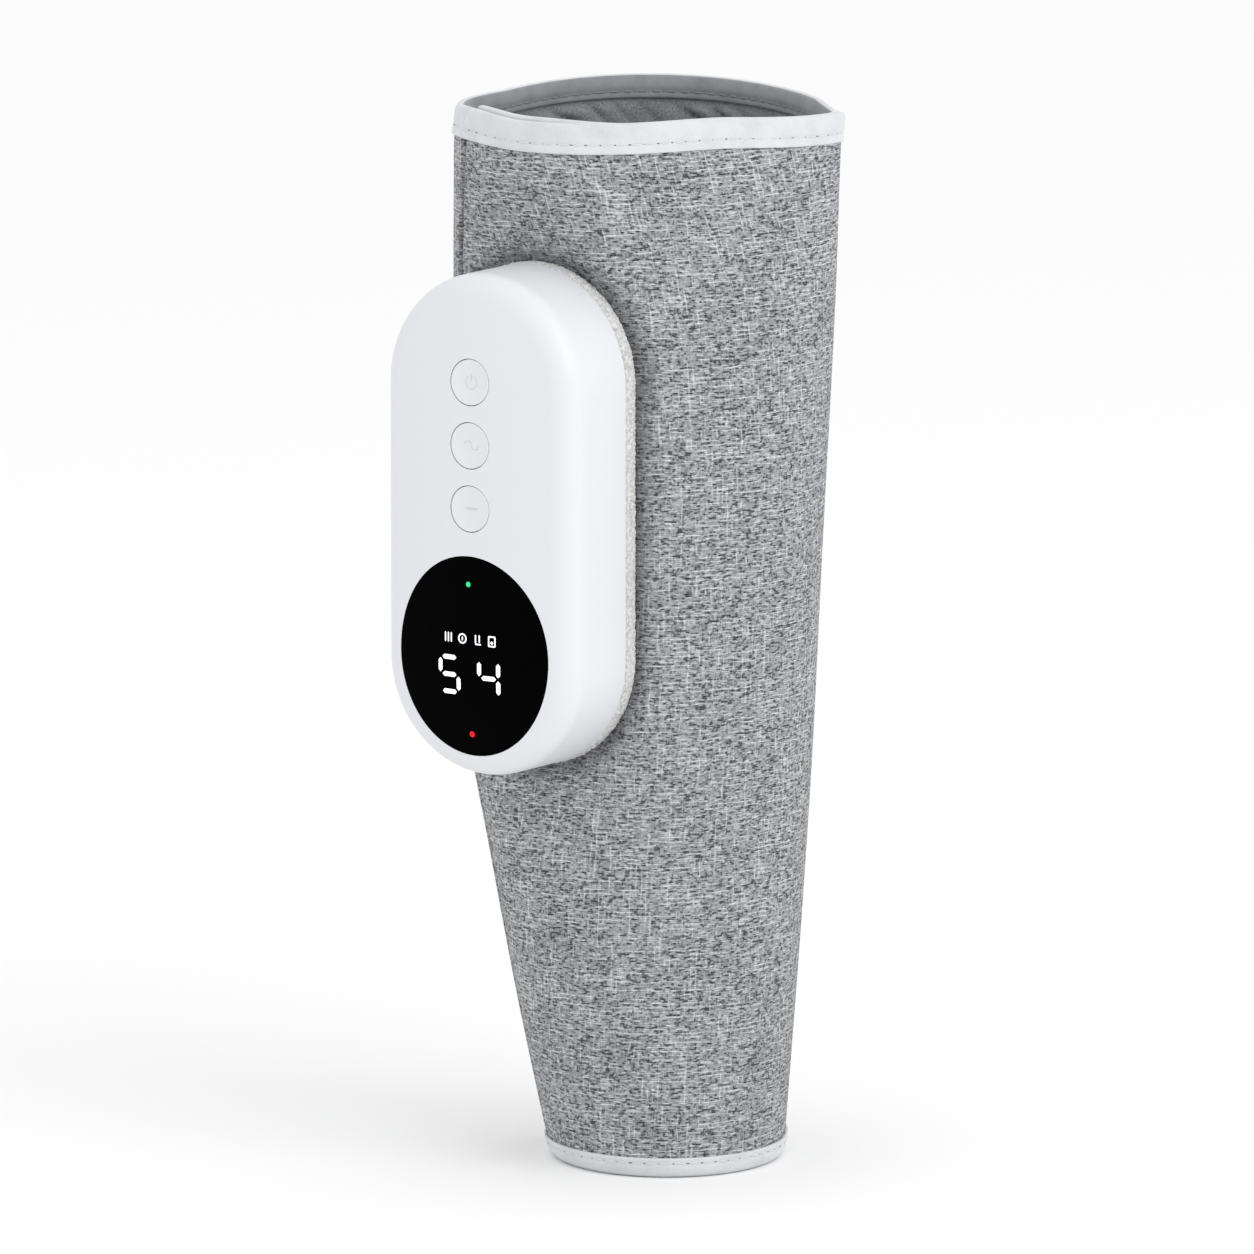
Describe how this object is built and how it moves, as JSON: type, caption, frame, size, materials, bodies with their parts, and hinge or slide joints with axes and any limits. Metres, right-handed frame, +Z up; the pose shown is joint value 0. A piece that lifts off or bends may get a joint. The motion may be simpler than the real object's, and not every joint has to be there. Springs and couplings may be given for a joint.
{
  "type": "heated leg massager",
  "caption": "Cordless calf wrap: a tapered padded fabric sleeve with bound rims, a peel-open wing at the back and a domed control pod with press buttons and an oval display.",
  "frame": {"origin": "bottom of the sleeve, in the middle of the footprint's box", "axes": "+Z up along the leg, -Y the way the control pod faces, +X to the right as the pod's reader sees it from the front"},
  "size_m": [0.1326, 0.1682, 0.38],
  "materials": {
    "cover_fabric": "matte",
    "lining_fabric": "matte",
    "bladder_film": "satin",
    "heater_film": "matte",
    "binding_tape": "satin",
    "hook_tape": "matte",
    "loop_tape": "matte",
    "plate_plastic": "matte",
    "felt": "matte",
    "pod_plastic": "satin",
    "rear_plastic": "matte",
    "lens_black": "gloss",
    "module_black": "matte",
    "light_pipe": "gloss",
    "button_plastic": "satin",
    "switch_plastic": "matte",
    "board_green": "satin",
    "chip_black": "matte",
    "screw_steel": "satin",
    "socket_steel": "satin",
    "cell_wrap": "satin",
    "cradle_plastic": "matte",
    "motor_can": "satin",
    "pump_plastic": "matte",
    "crank_brass": "satin",
    "valve_steel": "satin",
    "weight_iron": "satin",
    "manifold_plastic": "matte",
    "hose_rubber": "matte",
    "lead_sheath": "matte"
  },
  "bodies": {
    "sleeve": {"outer_cover": "cover_fabric", "inner_lining": "lining_fabric", "lower_bladder": "bladder_film", "upper_bladder": "bladder_film", "heating_film": "heater_film", "top_binding": "binding_tape", "bottom_binding": "binding_tape", "inner_flap": "lining_fabric", "loop_patch": "loop_tape", "backing_plate": "plate_plastic", "plate_screws": "screw_steel", "felt_gasket": "felt", "front_cover": "pod_plastic", "rear_cover": "rear_plastic", "cover_screws": "screw_steel", "display_lens": "lens_black", "display_module": "module_black", "status_lights": "light_pipe", "tact_switches": "switch_plastic", "main_board": "board_green", "board_screws": "screw_steel", "board_parts": "chip_black", "charging_socket": "socket_steel", "battery_cells": "cell_wrap", "battery_cradle": "cradle_plastic", "pump_motor": "motor_can", "pump_head": "pump_plastic", "exhaust_valve": "valve_steel", "vibration_motor": "motor_can", "air_manifold": "manifold_plastic", "air_hoses": "hose_rubber", "heater_leads": "lead_sheath"},
    "outer_wing": {"wing_cover": "cover_fabric", "wing_backing": "lining_fabric", "wing_binding": "binding_tape", "hook_strips": "hook_tape"},
    "power_key": {"power_button": "button_plastic", "power_plunger": "switch_plastic"},
    "mode_key": {"mode_button": "button_plastic", "mode_plunger": "switch_plastic"},
    "level_key": {"level_button": "button_plastic", "level_plunger": "switch_plastic"},
    "pump_crank": {"pump_crank": "crank_brass"},
    "vibration_weight": {"vibration_weight": "weight_iron"},
    "valve_plunger": {"valve_plunger": "valve_steel"}
  },
  "joints": [
    {"name": "wing_open", "type": "hinge", "parent": "sleeve", "child": "outer_wing", "pos_m": [0.05553, 0.04242, 0.19], "axis": [-0.0413, -0.0289, -0.9987], "range_deg": [0, 100]},
    {"name": "power_press", "type": "slide", "parent": "sleeve", "child": "power_key", "axis": [0, 1, 0], "range_m": [0, 0.0008], "stiffness_N_per_m": 700},
    {"name": "mode_press", "type": "slide", "parent": "sleeve", "child": "mode_key", "axis": [0, 1, 0], "range_m": [0, 0.0008], "stiffness_N_per_m": 700},
    {"name": "level_press", "type": "slide", "parent": "sleeve", "child": "level_key", "axis": [0, 1, 0], "range_m": [0, 0.0008], "stiffness_N_per_m": 700},
    {"name": "pump_turn", "type": "hinge", "parent": "sleeve", "child": "pump_crank", "pos_m": [-0.02164, -0.05917, 0.2705], "axis": [0, 0, 1], "continuous": true},
    {"name": "vibration_turn", "type": "hinge", "parent": "sleeve", "child": "vibration_weight", "pos_m": [0.00636, -0.05547, 0.2555], "axis": [0, 0, 1], "continuous": true},
    {"name": "valve_stroke", "type": "slide", "parent": "sleeve", "child": "valve_plunger", "axis": [0, 0, 1], "range_m": [0, 0.0012], "stiffness_N_per_m": 300}
  ]
}
